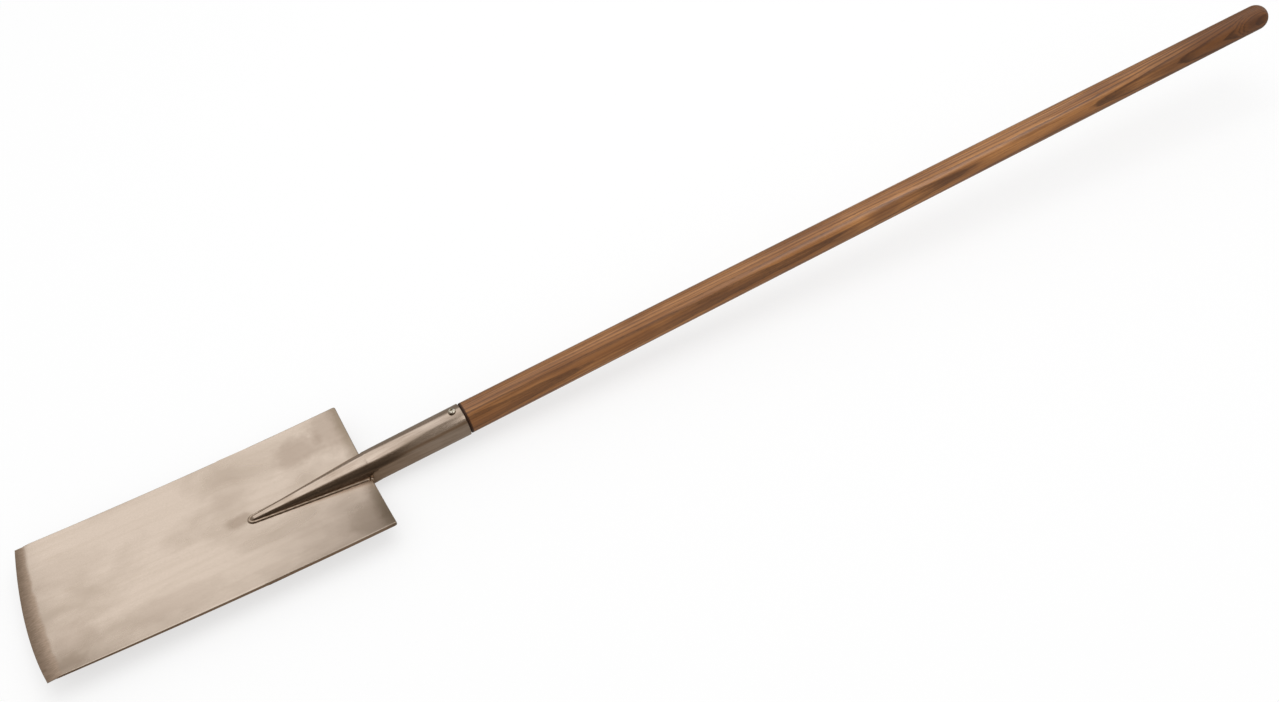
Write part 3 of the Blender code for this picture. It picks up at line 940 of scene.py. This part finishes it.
@dataclass
class Socket:
    """The tube, slit and pressed over the blade's top edge."""

    mouth: float = 0.021  # outer radius
    root: float = 0.0203
    middle: float = -0.01385  # height of the middle of the plate at the shoulder
    pinch: float = 0.012  # length over which the round tube turns into the tongues
    offset: float = 0.0007  # of the front tongue's root to the left, because the right side was pressed in more
    front: Tongue = Tongue(0.147, 0.0193, 0.0228, 0.0054, 0.0070)
    back: Tongue = Tongue(0.120, 0.0203, 0.01745, 0.0046, 0.0090)
    split: float = 0.0002  # between the two tongues' skins, within the plate
    rim: float = 0.0004  # radius of the rounded rim at the mouth
    steps: int = 30  # along each half of a ring
    bridge: int = 5  # rings between the tube and the tongues
    smooth: float = 0.85  # share of the pinched length that is smoothed
    rings: int = 6  # along the straight part of the tongues
    turns: tuple[int, ...] = (0, 18, 36, 52, 66, 77, 84)  # of the rings round a tongue's end, in degrees

    def skin(self, name: str, grow: float, past_mouth: float) -> bpy.types.Object:
        """Model the tube's closed skin.

        Args:
            name: name of the mesh.
            grow: added to the outer size all round.
            past_mouth: how far the skin runs past the mouth.

        Returns:
            The mesh in the drawing frame.
        """
        deselect()
        bpy.ops.mesh.primitive_cylinder_add(
            vertices=2 * self.steps + 4,
            radius=self.mouth + grow,
            depth=SOCKET_LENGTH - self.pinch + past_mouth,
            end_fill_type="NOTHING",
        )
        bench = Bench(name)
        rise = (SOCKET_LENGTH + self.pinch + past_mouth) / 2
        bench.everything()
        bench.move((0.0, 0.0, rise))
        bench.pick(lambda p: p.z < rise)
        bench.resize(((self.root + grow) / (self.mouth + grow),) * 2 + (1.0,), (0.0, 0.0, self.pinch))
        tube = bench.leave()
        stand(tube, axis_point(0.0), math.pi / 2 - CRANK)
        tongues = self.tongues(grow)
        hold(tongues)
        tube.select_set(True)
        bpy.context.view_layer.objects.active = tube
        bpy.ops.object.join()
        bench = Bench(name)
        bench.pick(lambda p: abs(p.x) < TOLERANCE or abs(station_of(p) - self.pinch) < TOLERANCE)
        bpy.ops.mesh.select_mode(type="EDGE")
        bpy.ops.mesh.bridge_edge_loops(number_cuts=self.bridge, interpolation="LINEAR")
        bench.pick(lambda p: -self.rim < p.x < self.smooth * self.pinch)
        bpy.ops.mesh.vertices_smooth(factor=0.5, repeat=3, yaxis=True, zaxis=True, xaxis=False)
        bench.pick(lambda p: station_of(p) - SOCKET_LENGTH > past_mouth - TOLERANCE)
        bpy.ops.mesh.edge_face_add()
        bench.clean()
        return bench.leave()

    def tongues(self, grow: float) -> bpy.types.Object:
        """Model both tongues as one skin, from the shoulder to their tips.

        Args:
            grow: added to the outer size all round.

        Returns:
            The mesh, open at the shoulder.
        """
        half, height = self.front.section(0.0, grow)
        centre = self.middle + height - half
        deselect()
        bpy.ops.mesh.primitive_plane_add(size=half)
        bench = Bench("tongues")
        bench.pick(lambda p: p.x > 0 or p.y > 0)
        bpy.ops.mesh.delete(type="VERT")
        bench.everything()
        bench.move((half / 2, -half / 2, self.middle))
        bench.extrude((0.0, 0.0, centre - self.middle))
        self.bow(centre)
        bench.extrude((0.0, 0.0, self.middle - centre))
        wide, deep = self.back.section(0.0, grow)
        bench.extrude((0.0, wide - half, -self.split))
        self.bow(self.middle - self.split)
        border = self.middle - self.split / 2
        bench.pick(lambda p: p.z < border)
        bench.resize((1.0, 1.0, deep / wide), (0.0, 0.0, self.middle - self.split))
        bench.pick(lambda p: abs(p.z - border) < self.split and p.y < 0)
        bpy.ops.mesh.edge_face_add()
        bench.pick(lambda p: p.z > border)
        bench.move((0.0, self.offset, 0.0))
        return self.draw_out(bench, grow)

    def bow(self, centre: float) -> None:
        """Spin the selected end of the profile through half a turn about a centre at that height."""
        bpy.ops.mesh.spin(steps=self.steps, angle=math.pi, center=(0.0, 0.0, centre), axis=(1.0, 0.0, 0.0))

    def draw_out(self, bench: Bench, grow: float) -> bpy.types.Object:
        """Extrude the profile down to the tips, ring by ring.

        Args:
            bench: the profile at the shoulder.
            grow: added to the outer size all round.

        Returns:
            The mesh, open at the shoulder.
        """
        straight = self.back.length - self.back.round_end
        stops = {step / self.rings * straight for step in range(1, self.rings + 1)}
        for tongue in (self.front, self.back):
            run = tongue.length - tongue.round_end
            end = tongue.round_end + grow
            stops.update(run + end * math.sin(math.radians(turn)) for turn in self.turns)
        border = self.middle - self.split / 2
        last = 0.0
        for stop in sorted(stops):
            bench.pick(lambda p: abs(p.x + last) < TOLERANCE)
            bench.extrude((last - stop, 0.0, 0.0))
            for tongue, side, level in ((self.front, 1.0, self.middle), (self.back, -1.0, self.middle - self.split)):
                before, after = tongue.section(last, grow), tongue.section(stop, grow)
                factors = [max(b, self.split) / max(a, self.split) for a, b in zip(before, after)]
                bench.pick(lambda p: abs(p.x + stop) < TOLERANCE and (p.z - border) * side > 0.0)
                bench.resize((1.0, *factors), (-stop, 0.0, level))
            last = stop
        bench.pick(lambda p: abs(p.x + last) < TOLERANCE)
        bpy.ops.mesh.edge_face_add()
        return bench.leave()

    def build(self, blade: bpy.types.Object, screw_room: bpy.types.Object) -> bpy.types.Object:
        """Model the tube: its skin is bored, slit for the blade and drilled.

        Args:
            blade: the finished blade.
            screw_room: room for the screw's shank.

        Returns:
            The piece in the drawing frame.
        """
        tube = self.skin("bronze_socket", 0.0, 0.0)
        carve(tube, self.skin("bore", -WALL, WALL))
        hold(blade)
        bpy.ops.object.duplicate()
        slit = bpy.context.object
        modify(slit, "DISPLACE", strength=GAP, mid_level=0.0)
        carve(tube, slit)
        carve(tube, screw_room)
        hold(tube)
        bench = Bench(tube.name)
        bench.pick_edges(
            lambda a, b: max(abs(station_of(end) - SOCKET_LENGTH) for end in (a, b)) < TOLERANCE, sharper=60
        )
        bpy.ops.mesh.bevel(offset=self.rim, segments=3, affect="EDGES")
        bench.clean()
        bench.leave()
        return settle(tube, sharp=32)

    def dress(self, tube: bpy.types.Object) -> None:
        """Give the finished tube its material."""
        dress(tube, DrawnBronze().make(), Slot.BRONZE, "socket")


# Welds
@dataclass
class Welds:
    """The filler beads that join the tube to the blade."""

    radius: float = 0.0020  # of the beads
    pitch: float = 0.0016  # from one ripple to the next
    ripple: float = 0.00014  # height of a ripple
    setback: float = 0.0025  # from the shoulder to a tongue's bead
    end: float = 0.6  # share of the section that a tongue's bead ends with
    bulge: float = 1.25  # how much wider than high a shoulder's bead is
    sides: int = 10
    turns: int = 7  # faces round half of a tongue's tip
    cuts: int = 4  # across a shoulder's bead

    def build(self, blade: Blade, socket: Socket) -> dict[str, bpy.types.Object]:
        """Model all four beads.

        Args:
            blade: sizes of the blade that they lie on.
            socket: sizes of the tube that they go round.

        Returns:
            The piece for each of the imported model's nodes, in the drawing frame.
        """
        beads = {}
        for node, tongue, under in (("front_weld", socket.front, 0.0), ("back_weld", socket.back, 1.0)):
            ends = [
                blade.face_height(-below, tongue.section(below, 0.0)[0]) - under * blade.thickness(-below)
                for below in (self.setback, tongue.length - tongue.round_end)
            ]
            name = node.replace("weld", "bead")
            beads[node] = self.round_tongue(name, tongue, ends[0], ends[0] - ends[1])
        for side, y in (("left", socket.root), ("right", -socket.root)):
            top = blade.face_height(0.0, y)
            beads[f"{side}_shoulder_weld"] = self.on_shoulder(f"{side}_bead", y, top, blade.plate)
        return beads

    def round_tongue(self, name: str, tongue: Tongue, height: float, drop: float) -> bpy.types.Object:
        """Model the bead round the foot of a tongue: one half is extruded and spun, rippled and mirrored.

        Args:
            name: name of the piece.
            tongue: the tongue.
            height: of the blade's face there.
            drop: how much the face comes down over the tongue's length.

        Returns:
            The piece in the drawing frame.
        """
        run = tongue.length - tongue.round_end
        half = tongue.section(self.setback, 0.0)[0]
        lean = math.atan2(half - tongue.tip_half, run - self.setback)
        deselect()
        bpy.ops.mesh.primitive_circle_add(vertices=self.sides, radius=self.radius)
        bench = Bench(name)
        bench.everything()
        bench.turn(math.pi / 2, "Y", ORIGIN)
        bench.turn(-lean, "Z", ORIGIN)
        bench.move((-self.setback, -half, height))
        bpy.ops.mesh.edge_face_add()
        bench.extrude((self.setback - run, half - tongue.tip_half, -drop))
        centre = (-run + tongue.tip_half * math.tan(lean), 0.0, 0.0)
        bpy.ops.mesh.spin(steps=self.turns, angle=math.pi / 2 - lean, center=centre, axis=(0.0, 0.0, 1.0))
        bpy.ops.mesh.delete(type="FACE")
        bench.pick(lambda p: p.x < -run - self.radius)
        bench.resize((tongue.round_end / tongue.tip_half, 1.0, 1.0), centre)
        cuts = round((run - self.setback) / self.pitch * 2)
        far = self.setback + self.radius
        bench.pick_edges(lambda a, b: min(a.x, b.x) < -run + self.radius and max(a.x, b.x) > -far)
        bpy.ops.mesh.subdivide(number_cuts=cuts)
        step = (run - self.setback) / (cuts + 1)
        bench.pick(lambda p: round((-p.x - self.setback) / step) % 2 == 0 and p.x > -run)
        bpy.ops.transform.shrink_fatten(value=self.ripple)
        bench.pick(lambda p: p.x > -self.setback - step / 2)
        bench.resize((1.0, self.end, self.end), (-self.setback, -half, height))
        bpy.ops.mesh.edge_face_add()
        bench.clean()
        bead = bench.leave()
        modify(bead, "MIRROR", use_axis=(False, True, False), merge_threshold=TOLERANCE)
        return settle(bead, sharp=60)

    def on_shoulder(self, name: str, y: float, top: float, depth: float) -> bpy.types.Object:
        """Model the short bead in the corner of the tube's side and the blade's top edge.

        Args:
            name: name of the piece.
            y: place of the tube's side.
            top: height of the blade's front there.
            depth: the plate's thickness.

        Returns:
            The piece in the drawing frame.
        """
        deselect()
        bpy.ops.mesh.primitive_uv_sphere_add(segments=2 * self.sides, ring_count=2 * self.turns, radius=self.radius)
        bench = Bench(name)
        bench.pick(lambda p: p.z > TOLERANCE)
        bench.move((0.0, 0.0, depth))
        bench.everything()
        bench.resize((1.0, self.bulge, 1.0), ORIGIN)
        bench.pick_edges(lambda a, b: abs(a.z - b.z) > depth / 2)
        bpy.ops.mesh.subdivide(number_cuts=self.cuts)
        bench.pick(lambda p: round(p.z / depth * (self.cuts + 1)) in (1, 3))
        bpy.ops.transform.shrink_fatten(value=self.ripple)
        bench.everything()
        bench.move((0.0, y, top - depth))
        bench.clean()
        bead = bench.leave()
        return settle(bead, sharp=60)

    def dress(self, beads: dict[str, bpy.types.Object]) -> None:
        """Give the finished beads their material.

        Args:
            beads: the piece for each node.
        """
        material = FillerBronze().make()
        for node, bead in beads.items():
            dress(bead, material, Slot.FILLER, node)


# Pole
@dataclass
class Pole:
    """The turned pole with its spigot and dome."""

    spigot: float = 0.102  # its length
    reach: float = 1.32074  # from the mouth to the top of the dome
    neck: float = 0.0181  # radius of the spigot at the mouth
    foot: float = 0.0174  # and at its lower end
    chamfer: float = 0.002  # of the spigot's foot
    groove: float = 0.0017  # open gap between the tube's rim and the pole's shoulder
    mouth: float = 0.0201  # radius of the pole there
    shoulder: float = 0.0008  # radius of its rounded edge
    top: float = 0.0184  # radius of the dome
    sides: int = 64
    spans: int = 9  # from the shoulder to the dome
    crown: int = 88  # last turn of the dome, in degrees

    def build(self) -> bpy.types.Object:
        """Model the pole as on a lathe, from the spigot's foot to the dome.

        Returns:
            The piece in the drawing frame.
        """
        deselect()
        bpy.ops.mesh.primitive_cylinder_add(vertices=self.sides, radius=self.foot, depth=self.spigot)
        bench = Bench("ash_pole")
        bench.everything()
        bench.move((0.0, 0.0, -self.spigot / 2))
        bench.pick(lambda p: p.z > -TOLERANCE)
        bench.resize((self.neck / self.foot, self.neck / self.foot, 1.0), ORIGIN)
        bench.lathe(self.neck, 0.0, self.profile())
        bench.pick_edges(
            lambda a, b: max(a.z, b.z) < TOLERANCE - self.spigot
            and abs(a.to_2d().length - b.to_2d().length) < TOLERANCE
        )
        bpy.ops.mesh.bevel(offset=self.chamfer, segments=1, affect="EDGES")
        bench.clean()
        pole = bench.leave()
        stand(pole, axis_point(SOCKET_LENGTH), math.pi / 2 - CRANK)
        return settle(pole, sharp=35)

    def profile(self) -> list[tuple[float, float]]:
        """Draw half the pole's outline, from the groove to the dome's crown.

        Returns:
            Radius and height of each ring.
        """
        points = [(self.neck, self.groove)]
        for turn in (0, 30, 60, 90):
            angle = math.radians(turn)
            lift = self.shoulder * (1 - math.cos(angle))
            points.append((self.mouth - self.shoulder * (1 - math.sin(angle)), self.groove + lift))
        start, base = points[-1][1], self.reach - self.top
        for step in range(1, self.spans):
            share = step / self.spans
            points.append((self.mouth + (self.top - self.mouth) * share, start + (base - start) * share))
        for turn in range(0, 90, 9):
            angle = math.radians(turn)
            points.append((self.top * math.cos(angle), base + self.top * math.sin(angle)))
        return points + [(self.top * math.cos(math.radians(self.crown)), self.reach)]

    def dress(self, pole: bpy.types.Object) -> None:
        """Give the finished pole its material."""
        dress(pole, OiledAsh().make(), Slot.ASH, "handle")


# Screw
@dataclass
class Screw:
    """The pan-head screw through the tube's front into the spigot."""

    station: float = 0.1202  # above the shoulder, along the tube
    seat: float = 0.02094  # radius of the tube there
    head: float = 0.005  # its radius
    height: float = 0.0032  # of the head
    rim: float = 0.0011  # height of the head's straight side
    shank: float = 0.0025  # its radius
    length: float = 0.030  # from under the head to the point
    point: float = 0.006  # length of the pointed end
    recess: float = 0.0029  # half the length of the cross
    slot: float = 0.0017  # width of its arms
    depth: float = 0.0023  # of the recess
    draft: float = 0.7  # share of the cross's size that is left at its foot
    sides: int = 40
    turns: tuple[int, ...] = (0, 12, 26, 42, 60, 80, 88)  # of the rings over the head, in degrees

    def room(self) -> bpy.types.Object:
        """Model the room that the shank needs in the tube's wall.

        Returns:
            The room in the drawing frame.
        """
        deselect()
        bpy.ops.mesh.primitive_cylinder_add(vertices=self.sides, radius=self.shank + GAP, depth=4 * WALL)
        tool = bpy.context.object
        stand(tool, axis_point(self.station, self.seat), -CRANK)
        return tool

    def build(self) -> bpy.types.Object:
        """Model the screw from its point to the crown of its head, and cut its cross recess.

        Returns:
            The piece in the drawing frame.
        """
        deselect()
        bpy.ops.mesh.primitive_cone_add(
            vertices=self.sides, radius1=self.shank / 8, radius2=self.shank, depth=self.point
        )
        bench = Bench("steel_screw")
        bench.everything()
        bench.move((0.0, 0.0, self.point / 2 - self.length))
        bench.pick(lambda p: p.z > self.point - self.length - TOLERANCE)
        dome = self.height - self.rim
        profile = [(self.shank, GAP), (self.head - GAP, GAP), (self.head, 2 * GAP)]
        for turn in self.turns:
            angle = math.radians(turn)
            profile.append((self.head * math.cos(angle), GAP + self.rim + dome * math.sin(angle)))
        bench.lathe(self.shank, self.point - self.length, profile)
        bench.clean()
        screw = bench.leave()
        for wide, deep in ((self.recess, self.slot / 2), (self.slot / 2, self.recess)):
            deselect()
            bpy.ops.mesh.primitive_cube_add(size=2.0)
            tool = Bench("recess")
            tool.everything()
            tool.resize((wide, deep, self.depth), ORIGIN)
            tool.move((0.0, 0.0, GAP + self.height))
            tool.pick(lambda p: p.z < self.height)
            tool.resize((self.draft, self.draft, 1.0), ORIGIN)
            carve(screw, tool.leave())
        stand(screw, axis_point(self.station, self.seat), -CRANK)
        return settle(screw, sharp=35)

    def dress(self, screw: bpy.types.Object) -> None:
        """Give the finished screw its material."""
        dress(screw, PlatedSteel().make(), Slot.STEEL, "retaining_screw")


# Studio
@dataclass
class Studio:
    """Floor, light and camera."""

    eye: Vector = Vector((-0.638501, -1.09729, 1.17941))
    right: Vector = Vector((0.870791, -0.484018, -0.085786))
    up: Vector = Vector((0.393331, 0.581342, 0.712313))
    ahead: Vector = Vector((0.294954, 0.654011, -0.696639))
    lens: float = 36.480  # in millimetres, as the sensor
    sensor: float = 36.0
    nearest: float = 0.01  # that the camera sees
    ambient: float = 0.80  # level of the room's light on what isn't glossy
    floor_size: float = 60.0
    glow: float = 0.65  # share of the floor's white that isn't lit
    lamp_size: float = 3.0
    lamp_power: float = 28.0  # in watts
    lamp_place: Triple = (0.3, 0.5, 3.2)
    tent_radius: float = 4.0
    tent_length: float = 18.0
    tent_sides: int = 96
    dark: float = 0.30  # level of the tent's walls
    darkest: float = 0.20  # and in their darkest band
    wall: str = "#FFF6EC"  # their colour
    warm: str = "#FFE4C8"  # and in that band
    strip: float = 3.2  # level that a narrow lamp beside the window adds
    sill: tuple[float, float] = (24.0, 31.0)  # where the window starts, in degrees up from the spade's left
    head: tuple[float, float] = (112.0, 106.0)  # and where it ends
    pane_angle: float = 56.0  # of its brightest part
    strip_angle: float = 120.0  # of the narrow lamp
    corner_angle: float = 148.0  # of the unlit corner beyond the cutting edge
    band_angle: float = 158.0  # of the walls' darkest band

    def camera(self) -> None:
        """Stand the camera where the photographer stood."""
        data = bpy.data.cameras.new("camera")
        data.lens = self.lens
        data.sensor_width = self.sensor
        data.sensor_fit = "HORIZONTAL"
        data.clip_start = self.nearest
        camera = bpy.data.objects.new("camera", data)
        turn = Matrix((self.right, self.up, -self.ahead)).transposed()
        camera.matrix_world = Matrix.Translation(self.eye) @ turn.to_quaternion().to_matrix().to_4x4()
        bpy.context.scene.collection.objects.link(camera)
        bpy.context.scene.camera = camera

    def seen(self, tree: bpy.types.NodeTree, unseen_value: float, value: float) -> bpy.types.Node:
        """Add the nodes for a value that differs between what the eye meets, also in reflections, and light.

        Args:
            tree: node tree of the world or the floor.
            unseen_value: value for light.
            value: value for the eye, reflections and glass.

        Returns:
            The node with the value.
        """
        path = add_node(tree, "LightPath").outputs
        seen = add_node(tree, "Math", path["Is Camera Ray"], path["Is Glossy Ray"], operation="MAXIMUM")
        seen = add_node(tree, "Math", seen, path["Is Transmission Ray"], operation="MAXIMUM")
        return add_node(tree, "MapRange", seen, 0.0, 1.0, unseen_value, value)

    def sky(self) -> None:
        """Surround the spade with even white light."""
        world = bpy.data.worlds.new("white_room")
        bpy.context.scene.world = world
        world.use_nodes = True
        tree = world.node_tree
        tree.nodes.clear()
        background = add_node(tree, "Background", WHITE, self.seen(tree, self.ambient, 1.0))
        add_node(tree, "OutputWorld", Surface=background)

    def floor(self) -> None:
        """Lay a white floor that shows the spade's shadow faintly, because it glows a little to the eye."""
        deselect()
        bpy.ops.mesh.primitive_plane_add(size=self.floor_size)
        floor = bpy.context.object
        floor.name = "floor"
        surface = Surface("white_floor")
        tree = surface.material.node_tree
        paper = surface.close(
            Base_Color=self.seen(tree, self.ambient, 1.0 - self.glow),
            Emission_Color=WHITE,
            Emission_Strength=self.seen(tree, 0.0, self.glow),
            Roughness=1.0,
            Specular_IOR_Level=0.0,
        )
        floor.data.materials.append(paper)

    def tent(self) -> None:
        """Put up the dark walls and the bright ceiling that only reflections show."""
        deselect()
        bpy.ops.mesh.primitive_cylinder_add(
            vertices=self.tent_sides, radius=self.tent_radius, depth=self.tent_length
        )
        bench = Bench("tent")
        bench.everything()
        bench.turn(math.pi / 2, "Y", ORIGIN)
        bench.pick(lambda p: p.z < GAP)
        bench.resize((1.0, 1.0, 0.0), (0.0, 0.0, GAP))
        tent = bench.leave()
        tent.data.materials.append(self.walls())
        for path in ("camera", "diffuse", "transmission", "volume_scatter", "shadow"):
            setattr(tent, f"visible_{path}", False)

    def walls(self) -> bpy.types.Material:
        """Make the tent's material, whose light differs round the spade and along it.

        Returns:
            The material.
        """
        surface = Surface("studio_walls")
        add = surface.add
        along = add("SeparateXYZ", surface.place)
        side = add("Math", along.outputs["Z"], along.outputs["Y"], operation="ARCTAN2")
        side = add("Math", side, operation="DEGREES")
        pane_away, strip_away, corner_away, band_away = (
            add("Math", add("Math", side, angle, operation="SUBTRACT"), operation="ABSOLUTE")
            for angle in (self.pane_angle, self.strip_angle, self.corner_angle, self.band_angle)
        )
        # ranges are in degrees round the spade and in metres along it
        # beyond the shoulder the window starts higher, and over the tube and the lower pole it ends sooner
        slant = add("Math", side, add("MapRange", along, -0.53, -0.25, 0.0, 14.0), operation="SUBTRACT")
        drop = add("Math", add("MapRange", along, -0.60, 0.20, 0.0, 17.0), side)
        drop = add("Mix", add("MapRange", along, 0.45, 0.80), drop, side)
        window = add("MapRange", slant, *self.sill, **SOFT)
        for edge in (add("MapRange", drop, *self.head, **SOFT), add("MapRange", along, -3.0, -1.7, **SOFT)):
            window = add("Math", window, edge, operation="MULTIPLY")
        pane = add("MapRange", pane_away, 0.0, 30.0, 1.0, add("MapRange", along, -0.8, -0.45, 1.1, 0.78))
        wall = add("MapRange", band_away, 4.0, 16.0, self.darkest, self.dark, **SOFT)
        corner = add("MapRange", corner_away, 38.0, 24.0, 0.0, 0.75, **SOFT)
        corner = add("Math", corner, add("MapRange", along, -0.40, -0.60), operation="MULTIPLY")
        wall = add("Math", wall, add("Math", 1.0, corner, operation="SUBTRACT"), operation="MULTIPLY")
        strip = add("MapRange", strip_away, 17.0, 7.0, 0.0, self.strip, **SOFT)
        for end in ((0.7, 1.4), (3.4, 2.6)):
            strip = add("Math", strip, add("MapRange", along, *end), operation="MULTIPLY")
        level = add("Math", add("Mix", window, wall, pane), strip)
        colour = add("Mix", add("MapRange", wall, self.dark, self.darkest), self.wall, self.warm, data_type="RGBA")
        colour = add("Mix", add("MapRange", level, 0.4, 0.9), colour, WHITE, data_type="RGBA")
        return surface.close("Emission", Color=colour, Strength=level)

    def lamp(self) -> None:
        """Hang one large soft lamp above, which reflections don't show."""
        data = bpy.data.lights.new("soft_box", "AREA")
        data.shape = "SQUARE"
        data.size = self.lamp_size
        data.energy = self.lamp_power
        lamp = bpy.data.objects.new("soft_box", data)
        lamp.location = self.lamp_place
        lamp.visible_glossy = False
        bpy.context.scene.collection.objects.link(lamp)

    def build(self) -> None:
        """Set up the whole studio."""
        for step in (self.camera, self.sky, self.floor, self.tent, self.lamp):
            step()


def main() -> None:
    """Build the spade and its studio."""
    logging.basicConfig(level=logging.INFO, format="%(name)s: %(message)s")
    for leftover in list(bpy.data.objects):
        bpy.data.objects.remove(leftover)
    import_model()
    bpy.context.scene.view_settings.view_transform = "Standard"
    Studio().build()
    blade, socket, welds, pole, screw = Blade(), Socket(), Welds(), Pole(), Screw()
    plate = blade.build()
    tube = socket.build(plate, screw.room())
    blade.dress(plate)
    socket.dress(tube)
    welds.dress(welds.build(blade, socket))
    pole.dress(pole.build())
    screw.dress(screw.build())


if __name__ == "__main__":
    main()
